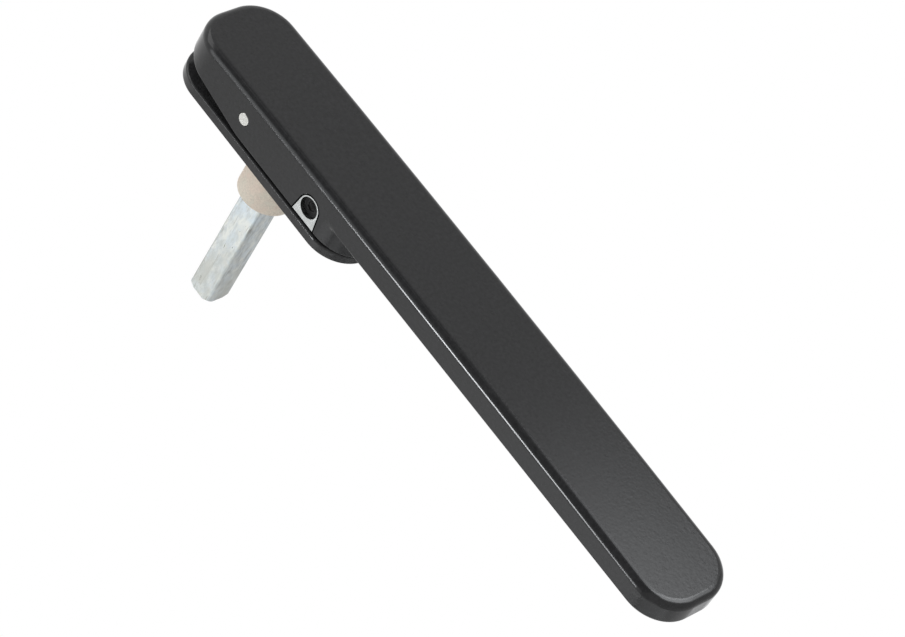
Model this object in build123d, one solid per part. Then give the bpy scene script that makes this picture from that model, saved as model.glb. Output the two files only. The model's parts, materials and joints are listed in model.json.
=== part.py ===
from build123d import *
import math
import os

# Bi-fold door locking handle, in millimetres.
# The door face is the plane Y = 0, and the handle stands in front of it, towards -Y.
# The spindle's axis is the Y axis, with the spindle entering the door towards +Y.
# Z runs up along the lever and X across it, to the right as seen from the front.
# A height is a distance in front of the door face, and a rise is a distance in front of the base plate.
# A drop is a distance below the spindle's axis.

# Lever, outside
lever_width = 28.2
lever_top_overhang = 36.8
lever_drop = 162.6
corner_radius = 11.2
front_rise = 16.3
crown_drop = 95.5
crown_radius = 5700.0
front_edge_radius = 2.3
arm_back_rise_upper = 7.55
arm_back_rise_lower = 8.45
back_edge_radius = 0.6
skirt_drop = 37.7
skirt_gap = 1.25
skirt_edge_radius = 0.4
relief_blend_radius = 20.0

# Lever, inside
side_wall = 3.0
end_wall = 3.2
front_wall = 3.0

# Lift of the lever about the cross pin
pivot_drop = -8.46
pivot_rise = 7.42
lift_angle = 9.5
lift_margin = 0.2
cross_pin_diameter = 3.8
cross_pin_chamfer = 0.2
pivot_washer_diameter = 8.0
pivot_washer_thickness = 0.8

# Base plate
plate_top_overhang = 36.8
plate_drop = 36.3
plate_width = 27.6
plate_thickness = 2.85
plate_corner_radius = 11.0
plate_edge_radius = 0.6
fixing_spacing = 58.0
fixing_hole_diameter = 4.4
fixing_head_diameter = 8.4

# Spindle and bush
spindle_size = 8.0
spindle_reach = 58.2
spindle_corner_radius = 0.7
spindle_corner_cut = 0.95
spindle_seat_rise = 6.35
stem_wall = 1.13
bush_wall = 1.45
bush_reach = 16.4
bush_flange_rim = 1.5
bush_flange_setback = 0.2
bush_end_chamfer = 0.4
stem_setback = 0.3
snap_ring_wire = 0.96
snap_ring_distance = 13.0
snap_ring_split_angle = 24.0
roll_pin_diameter = 3.0
roll_pin_wall = 0.5
roll_pin_end_wall = 5.0
roll_pin_rise = 4.05

# Washers under the carrier
thrust_washer_rim = 0.5
thrust_washer_thickness = 0.5
disc_spring_thickness = 0.35
disc_spring_height = 0.6
washer_bore_gap = 0.2

# Carrier
carrier_top_drop = -30.5
carrier_bottom_drop = 27.5
carrier_corner_radius = 7.0
carrier_underside_gap = 0.25
carrier_top_gap = 0.6
pad_rim = 0.5
buffer_diameter = 6.0
buffer_seat_depth = 0.8
buffer_drop = 11.0

# Return springs
spring_diameter = 4.8
spring_wire = 0.65
spring_turns = 4
spring_spacing = 10.8
spring_drop = -23.0
spring_pocket_gap = 0.3
spring_floor_thickness = 1.0

# Lock
lock_drop = 20.94
lock_rise = 6.1
barrel_diameter = 6.0
barrel_recess = 1.1
block_ring_wall = 0.38
block_foot_width = 8.44
notch_gap = 0.45
key_socket_size = 2.5
key_socket_depth = 2.4
crank_throw = 1.84
crank_pin_diameter = 1.7
key_angle = 90.0
bolt_diameter = 6.4
bolt_nose_diameter = 3.6
bolt_rest_gap = 0.6
bolt_cap_height = 1.0
retaining_pin_diameter = 1.2
retaining_groove_depth = 0.6
retaining_pin_setback = 6.0

# Clearances
running_gap = 0.05
sliding_gap = 0.08
seat_gap = 0.02
free_gap = 0.3

# How far a cutting or joining shape runs past the surface it crosses
overshoot = 1.0

# Places that follow from the sizes above
relief_angle = lift_angle + lift_margin
half_width = lever_width / 2
skirt_height = plate_thickness + skirt_gap
front_height = plate_thickness + front_rise
arm_back_height_upper = plate_thickness + arm_back_rise_upper
arm_back_height_lower = plate_thickness + arm_back_rise_lower
pivot_height = plate_thickness + pivot_rise
lock_height = plate_thickness + lock_rise
roll_pin_height = plate_thickness + roll_pin_rise
spindle_seat_height = plate_thickness + spindle_seat_rise
front_at_top = front_height - (lever_top_overhang + crown_drop) ** 2 / (2 * crown_radius)
ceiling_height = front_at_top - front_wall
spindle_corner_circle = math.sqrt(2) * (spindle_size - 2 * spindle_corner_radius) + 2 * spindle_corner_radius
stem_diameter = spindle_corner_circle + 2 * stem_wall
bush_diameter = stem_diameter + 2 * (running_gap + bush_wall)
bush_flange_diameter = bush_diameter + 2 * bush_flange_rim
thrust_washer_diameter = bush_flange_diameter + 2 * thrust_washer_rim
pad_diameter = thrust_washer_diameter + 2 * pad_rim
pocket_half_width = half_width - side_wall
carrier_half_width = pocket_half_width - pivot_washer_thickness - 2 * running_gap
carrier_underside = skirt_height + carrier_underside_gap
carrier_top = ceiling_height - carrier_top_gap
washer_top = plate_thickness + thrust_washer_thickness
pad_height = washer_top + disc_spring_height
washer_bore = stem_diameter + 2 * washer_bore_gap
barrel_bore = barrel_diameter + 2 * running_gap
crank_rise = crank_throw * math.sin(math.radians(key_angle / 2))
bolt_travel = 2 * crank_rise
bolt_tip_height = plate_thickness + bolt_rest_gap
bolt_bore = bolt_diameter + 2 * sliding_gap
relief_slope = math.tan(math.radians(relief_angle))
spring_floor = carrier_underside + (pivot_drop - spring_drop) * relief_slope + spring_floor_thickness


def front_plane(height):
    """Plane parallel to the door at a height, whose normal points away from the door."""
    return Plane.XZ.offset(height)


def side(height, drop):
    """Point of a side view, which is drawn in the YZ plane."""
    return (-height, -drop)


def rounded_plan(top_drop, bottom_drop, width, radius):
    """Rounded rectangle seen from the front, between two drops."""
    middle = Pos(0, -(top_drop + bottom_drop) / 2)
    return middle * RectangleRounded(width, bottom_drop - top_drop, radius)


def raised(plan, low, high):
    """Solid of a front view between two heights."""
    return extrude(front_plane(low) * plan, high - low)


def side_slab(points, half):
    """Solid of a closed side view, as wide as twice the given half width."""
    return extrude(make_face(Plane.YZ * Polyline(*points, close=True)), half, both=True)


def cross_rod(diameter, left, right, height, drop):
    """Round rod along X."""
    start = Plane.YZ.offset(left) * Pos(*side(height, drop))
    return extrude(start * Circle(diameter / 2), right - left)


def post(diameter, low, high, across=0.0, drop=0.0):
    """Round post standing away from the door."""
    return raised(Pos(across, -drop) * Circle(diameter / 2), low, high)


def ring(outer, inner, low, high):
    """Flat ring around the spindle's axis."""
    return post(outer, low, high) - post(inner, low, high)


def front_at(drop):
    """Height of the lever's crowned front at a drop."""
    return front_height - crown_radius + math.sqrt(crown_radius ** 2 - (drop - crown_drop) ** 2)


def block_profile(foot_height, gap):
    """D-shaped side view of the lock block: a round top that flares to a flat foot."""
    radius = barrel_bore / 2 + block_ring_wall + gap
    foot_half = block_foot_width / 2 + gap
    foot_reach = lock_height - foot_height
    foot = Line((foot_reach, -foot_half), (foot_reach, foot_half))
    top = CenterArc((0, 0), radius, 0, 360)
    return make_face(make_hull([foot, top]))


def lever_slab():
    """Long flat body of the lever, between its tapered back and its crowned front."""
    top = -lever_top_overhang - overshoot
    bottom = lever_drop + overshoot
    back_slope = (arm_back_height_lower - arm_back_height_upper) / (lever_drop - skirt_drop)
    back_top = arm_back_height_upper + back_slope * (top - skirt_drop)
    back_bottom = arm_back_height_upper + back_slope * (bottom - skirt_drop)
    front = ThreePointArc(
        side(front_at(top), top),
        side(front_at(crown_drop), crown_drop),
        side(front_at(bottom), bottom),
    )
    back = Polyline(
        side(front_at(bottom), bottom),
        side(back_bottom, bottom),
        side(back_top, top),
        side(front_at(top), top),
    )
    section = extrude(make_face(Plane.YZ * (front + back)), half_width + overshoot, both=True)
    plan = rounded_plan(-lever_top_overhang, lever_drop, lever_width, corner_radius)
    slab = section & raised(plan, 0, front_height + overshoot)
    front_face = slab.faces().sort_by(Axis.Y)[0]
    return fillet(front_face.outer_wire().edges(), front_edge_radius)


def lever_skirt():
    """Deeper upper part of the lever, relieved at its top end so that it can tilt."""
    join_height = (arm_back_height_upper + front_at_top) / 2
    relief_depth = (lever_top_overhang + pivot_drop) * relief_slope
    view = [
        side(skirt_height, skirt_drop + overshoot),
        side(skirt_height, pivot_drop),
        side(skirt_height + relief_depth, -lever_top_overhang),
        side(join_height, -lever_top_overhang - overshoot),
        side(join_height, skirt_drop + overshoot),
    ]
    plan = rounded_plan(-lever_top_overhang, skirt_drop, lever_width, corner_radius)
    return raised(plan, 0, join_height) & side_slab(view, half_width + overshoot)


def back_faces(lever):
    """Faces of the lever that look at the door: skirt foot, relief and arm back, nearest first."""
    faces = [face for face in lever.faces() if face.normal_at(face.center()).Y > 0.9]
    return sorted(faces, key=lambda face: -face.center().Y)


def round_back_edges(lever):
    """Break the edges towards the door, with a soft bend where the relief starts."""
    arm = back_faces(lever)[-1]
    lever = fillet(arm.outer_wire().edges(), back_edge_radius)
    bend = back_faces(lever)[0].edges().sort_by(Axis.Z)[-1]
    lever = fillet(bend, relief_blend_radius)
    rims = [edge for face in back_faces(lever)[:-1] for edge in face.outer_wire().edges()]
    rims = [edge for edge in rims if abs(edge.center().X) > 1 or edge.length < lever_width / 2]
    return fillet(rims, skirt_edge_radius)


def make_lever():
    """Lever casting: arm and skirt, hollowed for the carrier, drilled and notched."""
    lever = round_back_edges(lever_slab() + lever_skirt())
    pocket = rounded_plan(
        -lever_top_overhang + end_wall,
        skirt_drop - end_wall,
        2 * pocket_half_width,
        corner_radius - side_wall,
    )
    lever -= raised(pocket, 0, ceiling_height)
    lever -= cross_rod(cross_pin_diameter, -half_width, half_width, pivot_height, pivot_drop)
    notch = Plane.YZ.offset(-half_width) * Pos(*side(lock_height, lock_drop))
    notch *= block_profile(skirt_height, notch_gap)
    lever -= extrude(notch, side_wall + overshoot)
    return lever


def make_cross_pin():
    """Pivot pin, pressed through both side walls and flush with them."""
    pin = cross_rod(
        cross_pin_diameter - 2 * seat_gap, -half_width, half_width, pivot_height, pivot_drop
    )
    ends = pin.edges().filter_by(GeomType.CIRCLE)
    return chamfer(ends, cross_pin_chamfer)


def make_pivot_washer(hand):
    """Plain washer on the cross pin, between a side wall and the carrier."""
    inner = carrier_half_width + running_gap
    outer = inner + pivot_washer_thickness
    left, right = sorted((hand * inner, hand * outer))
    disc = cross_rod(pivot_washer_diameter, left, right, pivot_height, pivot_drop)
    hole = cross_rod(cross_pin_diameter + 2 * running_gap, left, right, pivot_height, pivot_drop)
    return disc - hole


def make_base_plate():
    """Backplate with a rounded front edge, two countersunk fixing holes and two lock holes."""
    plan = rounded_plan(-plate_top_overhang, plate_drop, plate_width, plate_corner_radius)
    plate = raised(plan, 0, plate_thickness)
    front_face = plate.faces().sort_by(Axis.Y)[0]
    plate = fillet(front_face.outer_wire().edges(), plate_edge_radius)
    plate -= post(bush_flange_diameter + 2 * seat_gap, 0, plate_thickness)
    sink = (fixing_head_diameter - fixing_hole_diameter) / 2
    for drop in (-fixing_spacing / 2, fixing_spacing / 2):
        plate -= post(fixing_hole_diameter, 0, plate_thickness, 0, drop)
        head = front_plane(plate_thickness - sink / 2) * Pos(0, -drop)
        plate -= head * Cone(fixing_hole_diameter / 2, fixing_head_diameter / 2, sink)
    for drop in (-lock_drop, lock_drop):
        plate -= post(bolt_nose_diameter + 2 * free_gap, 0, plate_thickness, 0, drop)
    return plate


def make_bearing_bush():
    """Flanged collar pressed into the plate, which carries the carrier's stem."""
    top = plate_thickness - bush_flange_setback
    bush = post(bush_diameter, -bush_reach, 0) + post(bush_flange_diameter, 0, top)
    rim = bush.edges().sort_by(Axis.Y)[-1]
    bush = chamfer(rim, bush_end_chamfer)
    bush -= post(stem_diameter + 2 * running_gap, -bush_reach, top)
    return bush - ring_groove(snap_ring_wire / 2 + running_gap)


def ring_groove(wire_radius):
    """Round groove that the snap ring lies in, half in the stem and half in the bush."""
    section = Plane.XY * Pos(stem_diameter / 2, snap_ring_distance) * Circle(wire_radius)
    return revolve(section, Axis.Y)


def make_snap_ring():
    """Split wire ring that holds the stem in the bush."""
    section = Plane.XY * Pos(stem_diameter / 2, snap_ring_distance) * Circle(snap_ring_wire / 2)
    return revolve(section, Axis.Y, 360 - snap_ring_split_angle)


def make_thrust_washer():
    """Plastic washer that slides on the plate."""
    return ring(thrust_washer_diameter, washer_bore, plate_thickness + seat_gap, washer_top)


def make_disc_spring():
    """Coned spring washer between the thrust washer and the carrier's pad."""
    outer = thrust_washer_diameter / 2
    inner = washer_bore / 2
    low = washer_top + seat_gap
    high = washer_top + disc_spring_height - seat_gap
    section = Polyline(
        (inner, -high),
        (outer, -low - disc_spring_thickness),
        (outer, -low),
        (inner, -high + disc_spring_thickness),
        close=True,
    )
    return revolve(make_face(Plane.XY * section), Axis.Y)


def make_spindle():
    """Square bar with a turned end, which drives the lock in the door."""
    square = RectangleRounded(spindle_size, spindle_size, spindle_corner_radius)
    bar = raised(square, -spindle_reach, spindle_seat_height)
    turned = post(spindle_corner_circle + overshoot, -spindle_reach, spindle_seat_height)
    far_edge = turned.edges().filter_by(GeomType.CIRCLE).sort_by(Axis.Y)[-1]
    turned = chamfer(far_edge, spindle_corner_cut + overshoot / 2)
    return (bar & turned) - roll_pin_hole()


def roll_pin_hole():
    """Cross hole through carrier and spindle."""
    reach = spindle_size / 2 + roll_pin_end_wall
    return cross_rod(roll_pin_diameter, -carrier_half_width, reach, roll_pin_height, 0)


def make_roll_pin():
    """Slotted spring pin through carrier and spindle."""
    reach = spindle_size / 2 + roll_pin_end_wall
    outer = roll_pin_diameter - 2 * seat_gap
    inner = outer - 2 * roll_pin_wall
    pin = cross_rod(outer, -reach, reach, roll_pin_height, 0)
    pin -= cross_rod(inner, -reach, reach, roll_pin_height, 0)
    slot_view = [
        side(roll_pin_height, -roll_pin_wall / 2),
        side(roll_pin_height, roll_pin_wall / 2),
        side(roll_pin_height + roll_pin_diameter, roll_pin_wall / 2),
        side(roll_pin_height + roll_pin_diameter, -roll_pin_wall / 2),
    ]
    return pin - side_slab(slot_view, reach)


def carrier_plan():
    """Front view of the carrier, which fits between the lever's side walls."""
    width = 2 * carrier_half_width
    return rounded_plan(carrier_top_drop, carrier_bottom_drop, width, carrier_corner_radius)


def carrier_core():
    """Carrier's main block, whose upper arm slopes on both sides to let the lever tilt."""
    tilted_gap = (ceiling_height - pivot_height) / math.cos(math.radians(relief_angle))
    over_pivot = pivot_height + tilted_gap - free_gap
    top_slope_drop = pivot_drop - (over_pivot - carrier_top) / relief_slope
    end_drop = carrier_top_drop - overshoot
    end_reach = pivot_drop - end_drop
    view = [
        side(carrier_underside, carrier_bottom_drop + overshoot),
        side(carrier_underside, pivot_drop),
        side(carrier_underside + end_reach * relief_slope, end_drop),
        side(over_pivot - end_reach * relief_slope, end_drop),
        side(carrier_top, top_slope_drop),
        side(carrier_top, carrier_bottom_drop + overshoot),
    ]
    return side_slab(view, half_width) & raised(carrier_plan(), 0, ceiling_height)


def make_carrier():
    """Casting that turns with the spindle and carries the lever's pivot and the lock."""
    carrier = carrier_core()
    block = Plane.YZ.offset(-half_width) * Pos(*side(lock_height, lock_drop))
    block *= block_profile(carrier_underside, 0)
    carrier += extrude(block, half_width - carrier_half_width + overshoot)
    pad = post(pad_diameter, pad_height, carrier_underside)
    carrier += pad & raised(carrier_plan(), 0, ceiling_height)
    carrier += post(stem_diameter, stem_setback - bush_reach, carrier_underside)
    carrier -= ring_groove(snap_ring_wire / 2 + running_gap)
    socket = RectangleRounded(
        spindle_size + 2 * running_gap, spindle_size + 2 * running_gap, spindle_corner_radius
    )
    carrier -= raised(socket, stem_setback - bush_reach, spindle_seat_height + seat_gap)
    carrier -= roll_pin_hole()
    carrier -= cross_rod(
        cross_pin_diameter + 2 * running_gap, -half_width, half_width, pivot_height, pivot_drop
    )
    pocket_diameter = spring_diameter + 2 * spring_pocket_gap
    for across in (-spring_spacing / 2, spring_spacing / 2):
        carrier -= post(pocket_diameter, spring_floor, carrier_top, across, spring_drop)
    carrier -= post(buffer_diameter, carrier_top - buffer_seat_depth, carrier_top, 0, buffer_drop)
    carrier -= cross_rod(barrel_bore, -half_width, -bolt_diameter / 4, lock_height, lock_drop)
    carrier -= post(bolt_bore, carrier_underside, carrier_top - bolt_cap_height, 0, lock_drop)
    return carrier - retaining_pin(0)


def retaining_pin(gap):
    """Small pin beside the barrel, which lies in the barrel's groove."""
    beside = (barrel_bore + retaining_pin_diameter) / 2 - retaining_groove_depth
    return post(
        retaining_pin_diameter - 2 * gap,
        carrier_underside,
        lock_height + barrel_diameter / 2,
        retaining_pin_setback - half_width,
        lock_drop + beside,
    )


def make_closing_buffer():
    """Pad on the carrier, on which the closed lever rests."""
    low = carrier_top - buffer_seat_depth + seat_gap
    diameter = buffer_diameter - 2 * seat_gap
    return post(diameter, low, ceiling_height - running_gap, 0, buffer_drop)


def make_return_spring(hand):
    """Coil spring between the carrier and the lever's front, above the pivot."""
    low = spring_floor + seat_gap
    high = ceiling_height - running_gap
    height = high - low - spring_wire
    coil_radius = (spring_diameter - spring_wire) / 2
    start = front_plane(low + spring_wire / 2) * Pos(hand * spring_spacing / 2, -spring_drop)
    path = start * Helix(height / spring_turns, height, coil_radius)
    section = Plane(path @ 0, z_dir=path % 0) * Circle(spring_wire / 2)
    return sweep(section, path, is_frenet=True)


def make_lock_barrel():
    """Keyed plug with a groove for its retaining pin and a crank pin at its inner end."""
    left = barrel_recess - half_width
    right = -bolt_bore / 2 - free_gap / 2
    barrel = cross_rod(barrel_diameter, left, right, lock_height, lock_drop)
    groove_half = retaining_pin_diameter / 2 + sliding_gap
    groove_place = retaining_pin_setback - half_width
    groove_core = barrel_bore - 2 * retaining_groove_depth - 2 * running_gap
    groove = cross_rod(
        barrel_bore, groove_place - groove_half, groove_place + groove_half, lock_height, lock_drop
    )
    groove -= cross_rod(
        groove_core, groove_place - groove_half, groove_place + groove_half, lock_height, lock_drop
    )
    barrel -= groove
    socket = Plane.YZ.offset(left) * Pos(*side(lock_height, lock_drop))
    socket *= RegularPolygon(key_socket_size / 2, 6, major_radius=False)
    barrel -= extrude(socket, key_socket_depth)
    crank_end = bolt_diameter / 4
    barrel += cross_rod(
        crank_pin_diameter, right, crank_end, lock_height + crank_rise, lock_drop + crank_rise
    )
    return barrel


def make_lock_bolt():
    """Stepped bolt with a side slot for the crank pin, drawn back clear of the plate."""
    body_low = bolt_tip_height + bolt_travel + free_gap
    body_high = carrier_top - bolt_cap_height - free_gap
    bolt = post(bolt_diameter, body_low, body_high, 0, lock_drop)
    bolt += post(bolt_nose_diameter, bolt_tip_height, body_low, 0, lock_drop)
    tip = bolt.edges().sort_by(Axis.Y)[-1]
    bolt = chamfer(tip, free_gap)
    slot_half = crank_pin_diameter / 2 + 2 * sliding_gap
    slot_start = crank_rise - crank_pin_diameter / 2 - 2 * sliding_gap
    centre = lock_height + crank_rise
    slot_view = [
        side(centre - slot_half, lock_drop + slot_start),
        side(centre + slot_half, lock_drop + slot_start),
        side(centre + slot_half, lock_drop + bolt_diameter),
        side(centre - slot_half, lock_drop + bolt_diameter),
    ]
    return bolt - side_slab(slot_view, bolt_diameter)


pieces = {
    "base_plate": make_base_plate(),
    "bearing_bush": make_bearing_bush(),
    "snap_ring": make_snap_ring(),
    "thrust_washer": make_thrust_washer(),
    "disc_spring": make_disc_spring(),
    "spindle": make_spindle(),
    "spindle_roll_pin": make_roll_pin(),
    "swivel_carrier": make_carrier(),
    "closing_buffer": make_closing_buffer(),
    "return_spring_left": make_return_spring(-1),
    "return_spring_right": make_return_spring(1),
    "barrel_retaining_pin": retaining_pin(seat_gap),
    "lock_barrel": make_lock_barrel(),
    "lock_bolt": make_lock_bolt(),
    "lever": make_lever(),
    "cross_pin": make_cross_pin(),
    "pivot_washer_left": make_pivot_washer(-1),
    "pivot_washer_right": make_pivot_washer(1),
}

os.makedirs("parts", exist_ok=True)
for name, piece in pieces.items():
    export_step(piece, f"parts/{name}.step")
print("lock bolt travel", round(bolt_travel, 4))
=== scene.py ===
import json
from math import radians

import bpy
from mathutils import Euler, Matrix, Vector


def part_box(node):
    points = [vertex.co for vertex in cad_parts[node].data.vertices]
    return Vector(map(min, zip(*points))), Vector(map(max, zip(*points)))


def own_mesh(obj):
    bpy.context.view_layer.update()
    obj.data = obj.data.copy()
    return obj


# A lift-and-turn door handle in front of a white studio background, in metres.
# The lever's long arm hangs down along -Z and its front faces -Y. The door would lie at +Y.

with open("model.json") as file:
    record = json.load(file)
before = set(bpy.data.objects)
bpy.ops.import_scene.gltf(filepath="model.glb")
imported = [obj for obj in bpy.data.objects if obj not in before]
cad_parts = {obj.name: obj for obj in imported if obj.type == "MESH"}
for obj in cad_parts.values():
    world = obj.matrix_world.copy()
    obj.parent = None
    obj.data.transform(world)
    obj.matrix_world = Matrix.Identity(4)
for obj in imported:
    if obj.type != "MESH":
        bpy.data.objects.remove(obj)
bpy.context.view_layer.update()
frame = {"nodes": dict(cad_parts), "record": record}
parts = frame["nodes"]

MM = 0.001
MICRON = 0.000001

# Camera, at the photograph's angle
CAMERA_PLACE = (-0.6510, -0.7175, -0.3626)
CAMERA_TURN = (111.5695, 36.3939, -29.4218)
LENS_MM = 159.116
SENSOR_MM = 36.0

# Studio
FLOOR_HEIGHT = -0.46
FLOOR_SIZE = 9.0
FLOOR_COLOUR = (0.80, 0.80, 0.80)
BACKGROUND_STRENGTH = 1.0
AMBIENT_STRENGTH = 0.75
HANDLE_CENTRE = Vector((0.0, 0.010, -0.060))
KEY_LAMP_WATTS = 7
CAMERA_CARD_COLOUR = (0.02, 0.02, 0.02)
CAMERA_CARD_GLOW = 0.28
VEIL_COLOUR = (0.95, 0.975, 1.0)

# Range in which nearly all values of a noise texture lie
NOISE_RANGE = (0.3, 0.7)

# Places of the Mix node's colour sockets, whose names its number and vector sockets have as well
MIX_SHARE, MIX_FIRST, MIX_SECOND, MIX_RESULT = 0, 6, 7, 2


def grey(level):
    """Colour with three equal channels."""
    return (level, level, level)


def scaled(colour, share):
    """Colour with its channels times one share."""
    return tuple(share * channel for channel in colour)


def tinted(colour, *shares):
    """Colour with a share for each channel."""
    return tuple(share * channel for share, channel in zip(shares, colour))


class Graph:
    """Small helper that adds shader nodes to one material and links them."""

    def __init__(self, name):
        self.material = bpy.data.materials.new(name)
        self.material.use_nodes = True
        self.tree = self.material.node_tree
        self.shader = self.tree.nodes["Principled BSDF"]
        self.surface = self.tree.nodes["Material Output"].inputs["Surface"]

    def set(self, **values):
        """Constant values on the shader's own sockets, with underscores for spaces."""
        for key, value in values.items():
            self.shader.inputs[key.replace("_", " ")].default_value = value

    def add(self, kind, links, **settings):
        """New node with its sockets filled from numbers or from other nodes' outputs."""
        node = self.tree.nodes.new(kind)
        for key, value in settings.items():
            setattr(node, key, value)
        for socket, value in links.items():
            if isinstance(value, bpy.types.NodeSocket):
                self.tree.links.new(value, node.inputs[socket])
            else:
                node.inputs[socket].default_value = value
        return node

    def link(self, output, socket):
        """Link an output to one of the shader's sockets."""
        self.tree.links.new(output, self.shader.inputs[socket])

    def geometry(self, output):
        """One of the surface's own facts, such as its normal."""
        return self.add("ShaderNodeNewGeometry", {}).outputs[output]

    def place(self, stretch=(1, 1, 1)):
        """Object coordinates in metres, stretched along the axes."""
        coordinates = self.add("ShaderNodeTexCoord", {}).outputs["Object"]
        mapping = self.add("ShaderNodeMapping", {"Vector": coordinates, "Scale": stretch})
        return mapping.outputs["Vector"]

    def axis(self, letter, vector):
        """One component of a vector."""
        return self.add("ShaderNodeSeparateXYZ", {"Vector": vector}).outputs[letter]

    def noise(self, size, detail=2.0, rough=0.5, stretch=(1, 1, 1)):
        """Noise whose lumps are about the given size in metres."""
        links = {"Vector": self.place(stretch), "Scale": 1 / size, "Detail": detail, "Roughness": rough}
        return self.add("ShaderNodeTexNoise", links).outputs["Fac"]

    def patchy(self, size, low, high, **settings):
        """Noise of a size, with noise's other settings, spread over a range of values."""
        return self.span(self.noise(size, **settings), *NOISE_RANGE, low, high)

    def reach(self, centre, axes):
        """Distance in metres from a line through a point, with the axes across that line."""
        offset = self.add("ShaderNodeVectorMath", {0: self.place(), 1: centre}, operation="SUBTRACT")
        across = self.add("ShaderNodeVectorMath", {0: offset.outputs[0], 1: axes}, operation="MULTIPLY")
        length = self.add("ShaderNodeVectorMath", {0: across.outputs[0]}, operation="LENGTH")
        return length.outputs["Value"]

    def times(self, first, second):
        """Product of two values."""
        return self.add("ShaderNodeMath", {0: first, 1: second}, operation="MULTIPLY").outputs[0]

    def span(self, value, low, high, out_low, out_high, fade="LINEAR"):
        """Value mapped from one range to another and kept inside it."""
        links = {"Value": value, "From Min": low, "From Max": high, "To Min": out_low, "To Max": out_high}
        return self.add("ShaderNodeMapRange", links, interpolation_type=fade).outputs["Result"]

    def blend(self, share, first, second):
        """Two colours mixed by a share."""
        first, second = ((*colour, 1) if isinstance(colour, tuple) else colour for colour in (first, second))
        links = {MIX_SHARE: share, MIX_FIRST: first, MIX_SECOND: second}
        return self.add("ShaderNodeMix", links, data_type="RGBA").outputs[MIX_RESULT]

    def bump(self, height, depth, under=None):
        """Bump of a height field, whose full range stands for depth metres."""
        links = {"Height": height, "Distance": depth, "Strength": 1.0}
        if under is not None:
            links["Normal"] = under
        return self.add("ShaderNodeBump", links).outputs["Normal"]


def powder_coat(name, colour, peel_depth):
    """Semi-gloss powder coat, whose orange peel flattens out round edges and on the sides."""
    g = Graph(name)
    g.set(Metallic=0.0, IOR=1.38)
    pale, dark = scaled(colour, 1.6), scaled(colour, 0.7)
    mottle = g.blend(g.patchy(1.0 * MM, 0, 1, detail=3.0, rough=0.6), dark, pale)
    g.link(g.blend(g.patchy(5.0 * MM, 0, 0.4, detail=3.0), mottle, colour), "Base Color")
    g.link(g.patchy(1.2 * MM, 0.12, 0.18, detail=3.0, rough=0.6), "Roughness")
    facing = g.axis("Y", g.geometry("Normal"))
    flatness = g.add("ShaderNodeMath", {0: facing}, operation="ABSOLUTE").outputs[0]
    flat_from, flat_to, side_share = 0.80, 0.98, 0.12
    share = g.span(flatness, flat_from, flat_to, side_share, 1)
    peel = g.bump(g.times(g.noise(0.8 * MM, detail=3.0, rough=0.6), share), peel_depth)
    grain = g.bump(g.times(g.noise(0.4 * MM, detail=1.0), share), 1 * MICRON, under=peel)
    g.link(grain, "Normal")
    return g.material


def bright_metal(name, colour, roughness, grain_size, depth, mottle):
    """Bare metal with mottled colour and roughness and a fine grain."""
    g = Graph(name)
    g.set(Metallic=1.0)
    cloud_size, patch_size = 9 * grain_size, 3 * grain_size
    clouds = g.patchy(cloud_size, 0, 1, detail=4.0, rough=0.6)
    g.link(g.blend(clouds, scaled(colour, 1 - mottle), colour), "Base Color")
    g.link(g.patchy(patch_size, roughness - 0.07, roughness + 0.07, detail=3.0, rough=0.6), "Roughness")
    g.link(g.bump(g.noise(grain_size, detail=1.0), depth), "Normal")
    return g.material


def zinc_bar(name, colour):
    """Zinc-plated drawn bar with cool and warm patches, thin dark scratches and a handled end."""
    g = Graph(name)
    g.set(Metallic=1.0)
    cool, warm = tinted(colour, 0.84, 0.90, 0.96), tinted(colour, 1.04, 1.03, 0.99)
    streak, scratch = tinted(colour, 0.68, 0.70, 0.71), tinted(colour, 0.42, 0.40, 0.36)
    touched = tinted(colour, 0.68, 0.67, 0.63)
    handled_from, handled_to = 22 * MM, 56 * MM
    drawn = (1, 0.3, 1)

    patches = g.span(g.noise(3.4 * MM, detail=5.0, rough=0.65, stretch=(1, 0.7, 1)), 0.42, 0.58, 0, 1)
    plating = g.blend(patches, cool, warm)
    streaks = g.span(g.noise(1.2 * MM, detail=4.0, rough=0.65, stretch=drawn), 0.46, 0.66, 0, 1)
    plating = g.blend(streaks, plating, streak)
    scratches = g.span(g.noise(0.7 * MM, detail=2.0, rough=0.5, stretch=(1, 0.1, 1)), 0.60, 0.68, 0, 0.7)
    plating = g.blend(scratches, plating, scratch)
    worn = g.span(g.noise(4.5 * MM, detail=4.0, rough=0.65, stretch=(1, 0.6, 1)), 0.40, 0.60, 0.25, 1)
    handled = g.times(g.span(g.axis("Y", g.place()), handled_from, handled_to, 0, 1), worn)
    g.link(g.blend(handled, plating, touched), "Base Color")
    g.link(g.patchy(1.2 * MM, 0.26, 0.44, detail=4.0, rough=0.6, stretch=drawn), "Roughness")
    waves = g.bump(g.noise(3.0 * MM, detail=4.0, rough=0.65, stretch=drawn), 120 * MICRON)
    grain = g.noise(0.5 * MM, detail=3.0, rough=0.6, stretch=(1, 0.2, 1))
    g.link(g.bump(grain, 6 * MICRON, under=waves), "Normal")
    return g.material


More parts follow.
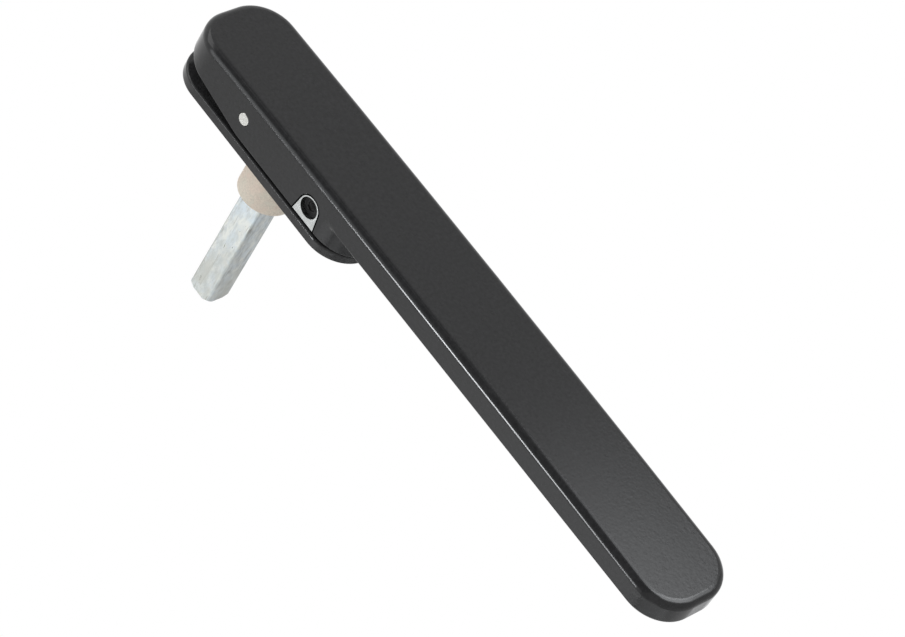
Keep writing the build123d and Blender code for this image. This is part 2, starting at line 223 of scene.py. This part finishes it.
def pin_end(name, colour, node):
    """Turned pin whose flat ends have painted shade: a small dark dot in the centre dimple and a dark line
    round the chamfered edge.
    """
    g = Graph(name)
    g.set(Metallic=1.0)
    low, high = (Vector(corner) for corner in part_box(node))
    radius = (high.z - low.z) / 2
    mark_from, mark_to = 0.04 * radius, 0.13 * radius
    rim_from, rim_to = 0.88 * radius, 0.99 * radius
    distance = g.reach((low + high) / 2, (0, 1, 1))
    turned = g.blend(g.noise(0.5 * MM, detail=3.0), scaled(colour, 0.93), colour)
    # Painted shade: a dark line on the chamfered edge and a dark dot in the centre dimple
    rim_shade = g.span(distance, rim_from, rim_to, 0, 0.75)
    dimple_shade = g.span(distance, mark_from, mark_to, 0.45, 0)
    dark = scaled(colour, 0.25)
    g.link(g.blend(dimple_shade, g.blend(rim_shade, turned, dark), dark), "Base Color")
    g.link(g.patchy(0.6 * MM, 0.20, 0.28), "Roughness")
    g.link(g.bump(g.noise(0.6 * MM, detail=1.0), 3 * MICRON), "Normal")
    return g.material


def blackened(name, node):
    """Dull black plug with a broached socket, painted paler inside than its blackened face as painted light
    in the recess.
    """
    g = Graph(name)
    g.set(Metallic=0.0, IOR=1.22)
    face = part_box(node)[0][0]
    black = g.blend(g.noise(1.2 * MM, detail=3.0), grey(0.006), grey(0.012))
    # Painted light: the socket's inner walls are paler to lift the shade in the recess
    inside = g.span(g.axis("X", g.place()), face + 0.2 * MM, face + 0.8 * MM, 0, 1)
    g.link(g.blend(inside, black, grey(0.15)), "Base Color")
    g.link(g.patchy(0.6 * MM, 0.38, 0.50), "Roughness")
    g.link(g.bump(g.noise(0.3 * MM), 6 * MICRON), "Normal")
    return g.material


def sintered(name):
    """Matte beige bush with a fine speckle over soft clouds."""
    g = Graph(name)
    g.set(Metallic=0.0, IOR=1.45)
    grains = g.span(g.noise(0.5 * MM, detail=4.0, rough=0.7), 0.38, 0.60, 0, 1)
    speckle = g.blend(grains, (0.62, 0.54, 0.45), (0.90, 0.79, 0.67))
    clouds = g.span(g.noise(5.0 * MM, detail=3.0), 0.42, 0.58, 0, 1)
    cloud = g.blend(clouds, (0.82, 0.69, 0.58), (0.76, 0.72, 0.61))
    speckled = g.span(g.noise(2.0 * MM, detail=3.0), 0.35, 0.65, 0.25, 0.75)
    g.link(g.blend(speckled, cloud, speckle), "Base Color")
    g.link(g.patchy(1.0 * MM, 0.62, 0.78), "Roughness")
    g.link(g.bump(g.noise(0.3 * MM, detail=3.0, rough=0.7), 10 * MICRON), "Normal")
    return g.material


def moulded(name, colour, roughness):
    """Plain moulded plastic or rubber with slight variation."""
    g = Graph(name)
    g.set(Metallic=0.0, IOR=1.47)
    g.link(g.blend(g.noise(2.5 * MM, detail=3.0), scaled(colour, 0.82), colour), "Base Color")
    g.link(g.patchy(0.8 * MM, roughness - 0.06, roughness + 0.06), "Roughness")
    g.link(g.bump(g.noise(0.4 * MM), 6 * MICRON), "Normal")
    return g.material


slot_materials = {
    "black_powder_coat": powder_coat("powder_coat", (0.0152, 0.0155, 0.0164), 18 * MICRON),
    "bare_casting": bright_metal(
        "satin_casting", (0.485, 0.500, 0.495), 0.24, 0.8 * MM, 1 * MICRON, mottle=0.08
    ),
    "plated_steel": zinc_bar("zinc_plating", (0.592, 0.612, 0.604)),
    "sintered_bush": sintered("sintered"),
    "black_plug": blackened("blackened_plug", "lock_barrel"),
    "spring_steel": bright_metal("spring_wire", (0.42, 0.42, 0.43), 0.3, 0.3 * MM, 4 * MICRON, mottle=0.24),
    "white_plastic": moulded("white_washer", (0.78, 0.77, 0.74), 0.45),
    "black_rubber": moulded("rubber_pad", (0.02, 0.02, 0.02), 0.8),
}
node_materials = {
    # Painted light: the plate's coat is a lighter copy of the lever's powder coat, which lifts the shade in
    # the gap between them
    "base_plate": powder_coat("plate_coat_painted_light", (0.0220, 0.0222, 0.0230), 10 * MICRON),
    "cross_pin": pin_end("turned_pin", (0.60, 0.60, 0.57), "cross_pin"),
}
for row in frame["record"]["subparts"]:
    material = node_materials.get(row["node"], slot_materials[row["material_slot"]])
    for slot in parts[row["node"]].material_slots:
        slot.material = material

# Each return spring gets a mesh of its own; in the real handle they shorten towards the carrier as the
# lifted lever comes down on them
for node in ("return_spring_left", "return_spring_right"):
    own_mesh(parts[node])


def seen_background(tree):
    """Share of rays, from the camera or off gloss and glass, that see the plain background."""
    rays = tree.nodes.new("ShaderNodeLightPath")
    total = rays.outputs["Is Camera Ray"]
    for name in ("Is Glossy Ray", "Is Transmission Ray"):
        larger = tree.nodes.new("ShaderNodeMath")
        larger.operation = "MAXIMUM"
        tree.links.new(total, larger.inputs[0])
        tree.links.new(rays.outputs[name], larger.inputs[1])
        total = larger.outputs[0]
    return total


def make_world():
    """White background, with a softer level for the light that it gives."""
    world = bpy.data.worlds.new("studio")
    world.use_nodes = True
    tree = world.node_tree
    tree.nodes.clear()
    output = tree.nodes.new("ShaderNodeOutputWorld")
    mix = tree.nodes.new("ShaderNodeMixShader")
    tree.links.new(seen_background(tree), mix.inputs[0])
    for place, strength in ((1, AMBIENT_STRENGTH), (2, BACKGROUND_STRENGTH)):
        background = tree.nodes.new("ShaderNodeBackground")
        background.inputs["Color"].default_value = (1, 1, 1, 1)
        background.inputs["Strength"].default_value = strength
        tree.links.new(background.outputs[0], mix.inputs[place])
    tree.links.new(mix.outputs[0], output.inputs["Surface"])
    bpy.context.scene.world = world


def make_floor():
    """Plain pale floor, clear from below so that low views see past it."""
    bpy.ops.mesh.primitive_plane_add(size=FLOOR_SIZE, location=(0, 0, FLOOR_HEIGHT))
    floor = bpy.context.object
    floor.name = "floor"
    g = Graph("floor")
    g.set(Base_Color=(*FLOOR_COLOUR, 1), Roughness=0.9)
    clear = g.add("ShaderNodeBsdfTransparent", {}).outputs[0]
    links = {0: g.geometry("Backfacing"), 1: g.shader.outputs[0], 2: clear}
    g.tree.links.new(g.add("ShaderNodeMixShader", links).outputs[0], g.surface)
    floor.data.materials.append(g.material)


def hang(obj, offset):
    """Put a lamp or card at an offset from the handle's centre, facing that centre."""
    obj.location = HANDLE_CENTRE + Vector(offset)
    obj.rotation_mode = "QUATERNION"
    obj.rotation_quaternion = (-Vector(offset)).to_track_quat("-Z", "Y")


def make_lamp(name, offset, size, power):
    """Soft rectangular lamp that the camera doesn't see."""
    data = bpy.data.lights.new(name, "AREA")
    data.shape = "RECTANGLE"
    data.size, data.size_y = size
    data.energy = power
    lamp = bpy.data.objects.new(name, data)
    bpy.context.scene.collection.objects.link(lamp)
    hang(lamp, offset)
    lamp.visible_camera = False


def make_card(material, offset, size):
    """Rectangle that shows in reflections alone."""
    bpy.ops.mesh.primitive_plane_add(size=1, location=(0, 0, 0))
    card = bpy.context.object
    card.name = material.name
    card.scale = (*size, 1)
    hang(card, offset)
    card.data.materials.append(material)
    card.visible_camera = False
    card.visible_diffuse = False
    card.visible_shadow = False


def make_camera_card(offset, size):
    """Dark card on the camera's side, which keeps the white background out of reflections."""
    g = Graph("camera_card")
    g.set(Base_Color=(*CAMERA_CARD_COLOUR, 1), Roughness=1.0)
    g.set(Emission_Color=(1, 1, 1, 1), Emission_Strength=CAMERA_CARD_GLOW)
    make_card(g.material, offset, size)


def make_veil(name, offset, size, sides, ends, glow=0, shade=0):
    """Clear card that adds a glow to reflections, or takes a share off them, with soft edges.

    Sides and ends are the faded shares of its width and height, at the left and right and at the
    bottom and top, as seen when looking from the card to the handle.
    """
    g = Graph(name)
    spot = g.add("ShaderNodeTexCoord", {}).outputs["Object"]
    strength = 1.0
    for letter, (low, high) in (("X", sides), ("Y", ends)):
        along = g.axis(letter, spot)
        strength = g.times(g.span(along, -0.5, low - 0.5, 0, 1, "SMOOTHSTEP"), strength)
        strength = g.times(g.span(along, 0.5 - high, 0.5, 1, 0, "SMOOTHSTEP"), strength)
    light = g.add("ShaderNodeEmission", {"Color": (*VEIL_COLOUR, 1), "Strength": g.times(strength, glow)})
    left_over = g.blend(g.times(strength, shade), grey(1), grey(0))
    clear = g.add("ShaderNodeBsdfTransparent", {"Color": left_over})
    both = g.add("ShaderNodeAddShader", {0: light.outputs[0], 1: clear.outputs[0]})
    g.tree.links.new(both.outputs[0], g.surface)
    make_card(g.material, offset, size)


def make_camera():
    """Camera with the photograph's place, turn and lens."""
    data = bpy.data.cameras.new("camera")
    data.lens = LENS_MM
    data.sensor_width = SENSOR_MM
    camera = bpy.data.objects.new("camera", data)
    camera.location = CAMERA_PLACE
    camera.rotation_euler = Euler([radians(turn) for turn in CAMERA_TURN], "XYZ")
    bpy.context.scene.collection.objects.link(camera)
    bpy.context.scene.camera = camera


make_world()
make_floor()
make_camera_card((-1.25, -1.15, -0.30), (2.8, 3.0))

# Bright line along the front's left edge, and its softer start at the lever's top
make_veil("strip", (-1.44, 0.41, 0.35), (0.52, 0.38), glow=45, sides=(0.35, 0.35), ends=(0.83, 0.17))
make_veil("strip_top", (-1.50, -0.10, 0.80), (2.0, 0.8), glow=2.4, sides=(0.45, 0.45), ends=(0.4, 0.2))

# Bright rim round the low end, and the paler low part of the front
make_veil("rim_soft", (0.170, -0.362, -0.215), (0.51, 0.36), glow=6.2, sides=(0.15, 0.5), ends=(0.41, 0.18))
make_veil("low_sheen", (0.205, -0.564, -0.018), (0.52, 0.32), glow=3.6, sides=(0.2, 0.07), ends=(0.3, 0.41))

# Dark band beside the bright line, and a slightly darker upper front
make_veil("band_shade", (0.38, -1.66, -0.30), (1.31, 3.0), shade=0.72, sides=(0.02, 0.95), ends=(0.1, 0.1))
make_veil("front_shade", (1.10, -1.20, 0.50), (1.4, 1.4), shade=0.08, sides=(0.2, 0.2), ends=(0.3, 0.3))

# Underside of the spindle, lower half of the lever's side, and its rounded low end
make_veil("under_bar", (0.85, 0.92, -0.28), (0.9, 0.5), glow=0.36, sides=(0.3, 0.3), ends=(0.2, 0.3))
make_veil("side_low", (-1.02, 1.10, 0.18), (0.8, 1.0), glow=0.6, sides=(0.3, 0.3), ends=(0.25, 0.5))
make_veil("corner_low", (-0.12, 0.36, -0.24), (0.8, 0.6), glow=0.6, sides=(0.3, 0.3), ends=(0.2, 0.3))

# Darker rounded corner of the skirt
make_veil(
    "skirt_shade", (-0.005, 0.075, -0.055), (0.168, 0.12), shade=0.45, sides=(0.2, 0.15), ends=(0.15, 0.15)
)

make_lamp("key", (-0.5, -1.0, 1.5), (1.4, 1.0), KEY_LAMP_WATTS)
make_camera()
bpy.context.scene.view_settings.view_transform = "Standard"
